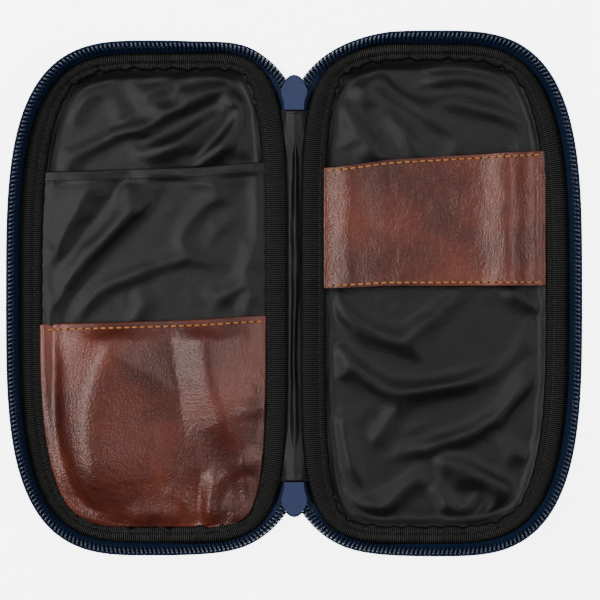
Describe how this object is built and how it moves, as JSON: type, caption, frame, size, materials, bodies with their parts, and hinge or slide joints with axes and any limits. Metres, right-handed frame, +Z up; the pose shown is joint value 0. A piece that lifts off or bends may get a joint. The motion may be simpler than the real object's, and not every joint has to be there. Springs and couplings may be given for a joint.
{
  "type": "travel document organizer",
  "caption": "Clamshell travel document organizer lying open: soft navy zip-round case, black lining, brown leather pocket and band, cloth slip pocket.",
  "frame": {"origin": "centre of the open case at the level of the table it lies on", "axes": "+X from the pocket half to the band half, +Y along the spine towards the pockets' mouths, +Z up out of the open inside"},
  "size_m": [0.2518, 0.2286, 0.0183],
  "materials": {
    "outer_cloth": "matte woven",
    "foam_board": "matte",
    "lining_cloth": "satin woven",
    "binding_tape": "matte ribbed",
    "zip_tape": "matte woven",
    "zip_coil": "satin",
    "brown_leather": "glossy",
    "tan_thread": "satin",
    "black_thread": "satin",
    "slider_lacquer": "satin"
  },
  "bodies": {
    "spine": {"spine_cover": "outer_cloth", "spine_foam": "foam_board", "spine_lining": "lining_cloth", "spine_binding_left": "binding_tape", "spine_binding_right": "binding_tape", "top_zip_fork": "zip_tape", "top_fork_coil": "zip_coil", "top_zip_stop": "slider_lacquer", "bottom_zip_fork": "zip_tape", "bottom_fork_coil": "zip_coil", "bottom_zip_stop": "slider_lacquer"},
    "left_half": {"left_cover": "outer_cloth", "left_foam": "foam_board", "left_lining": "lining_cloth", "left_binding": "binding_tape", "left_zip_tape": "zip_tape", "left_zip_coil": "zip_coil", "left_slip_pocket": "lining_cloth", "left_slip_pocket_thread": "black_thread", "left_leather_pocket": "brown_leather", "left_pocket_thread": "tan_thread"},
    "right_half": {"right_cover": "outer_cloth", "right_foam": "foam_board", "right_lining": "lining_cloth", "right_binding": "binding_tape", "right_zip_tape": "zip_tape", "right_zip_coil": "zip_coil", "right_leather_band": "brown_leather", "right_band_thread": "tan_thread"},
    "top_slider": {"top_slider": "slider_lacquer", "top_slider_bridge": "slider_lacquer"},
    "bottom_slider": {"bottom_slider": "slider_lacquer", "bottom_slider_bridge": "slider_lacquer"},
    "top_pull": {"top_pull_tab": "slider_lacquer"},
    "bottom_pull": {"bottom_pull_tab": "slider_lacquer"}
  },
  "joints": [
    {"name": "left_fold", "type": "hinge", "parent": "spine", "child": "left_half", "pos_m": [-0.0135, 0, 0.005], "axis": [0, 1, 0], "range_deg": [0, 90], "deforming": ["top_zip_fork", "top_fork_coil", "bottom_zip_fork", "bottom_fork_coil"]},
    {"name": "right_fold", "type": "hinge", "parent": "spine", "child": "right_half", "pos_m": [0.0135, 0, 0.005], "axis": [0, -1, 0], "range_deg": [0, 90], "deforming": ["top_zip_fork", "top_fork_coil", "bottom_zip_fork", "bottom_fork_coil"]},
    {"name": "top_slide", "type": "slide", "parent": "spine", "child": "top_slider", "axis": [0, 1, 0], "range_m": [0, 0.006], "deforming": ["top_zip_fork", "top_fork_coil"]},
    {"name": "bottom_slide", "type": "slide", "parent": "spine", "child": "bottom_slider", "axis": [0, -1, 0], "range_m": [0, 0.006], "deforming": ["bottom_zip_fork", "bottom_fork_coil"]},
    {"name": "top_pull_swing", "type": "hinge", "parent": "top_slider", "child": "top_pull", "pos_m": [0, 0.09, 0.0026], "axis": [1, 0, 0], "range_deg": [0, 170]},
    {"name": "bottom_pull_swing", "type": "hinge", "parent": "bottom_slider", "child": "bottom_pull", "pos_m": [0, -0.09, 0.0026], "axis": [-1, 0, 0], "range_deg": [0, 170]}
  ]
}
